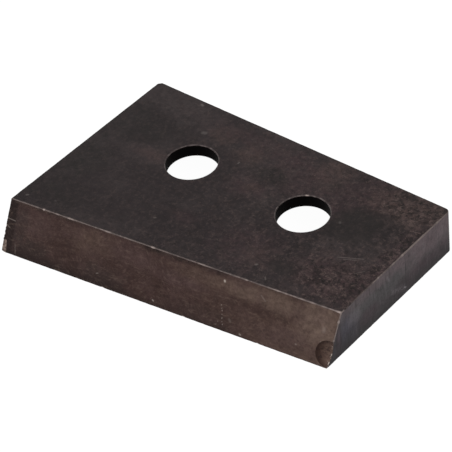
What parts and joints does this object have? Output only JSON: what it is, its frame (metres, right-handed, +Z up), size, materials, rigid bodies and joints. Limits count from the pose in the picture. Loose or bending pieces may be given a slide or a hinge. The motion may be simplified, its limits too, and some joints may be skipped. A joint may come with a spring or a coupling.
{
  "type": "plunger blade",
  "caption": "Flat steel plunger blade with a slanted cutting edge, a leaning front face and bolt holes over a recess for the bolt heads.",
  "frame": {"origin": "under the middle of the blade's box, on the flat underside that it rests on", "axes": "+X along the blade from its wide end to its narrow end, +Y from the cutting edge to the back edge, +Z up through the thickness"},
  "size_m": [0.118, 0.0797, 0.016],
  "materials": {
    "scaled_steel": "dark heat scale, ground and rubbed at the edges"
  },
  "bodies": {
    "root": {"blade": "scaled_steel"}
  },
  "joints": []
}
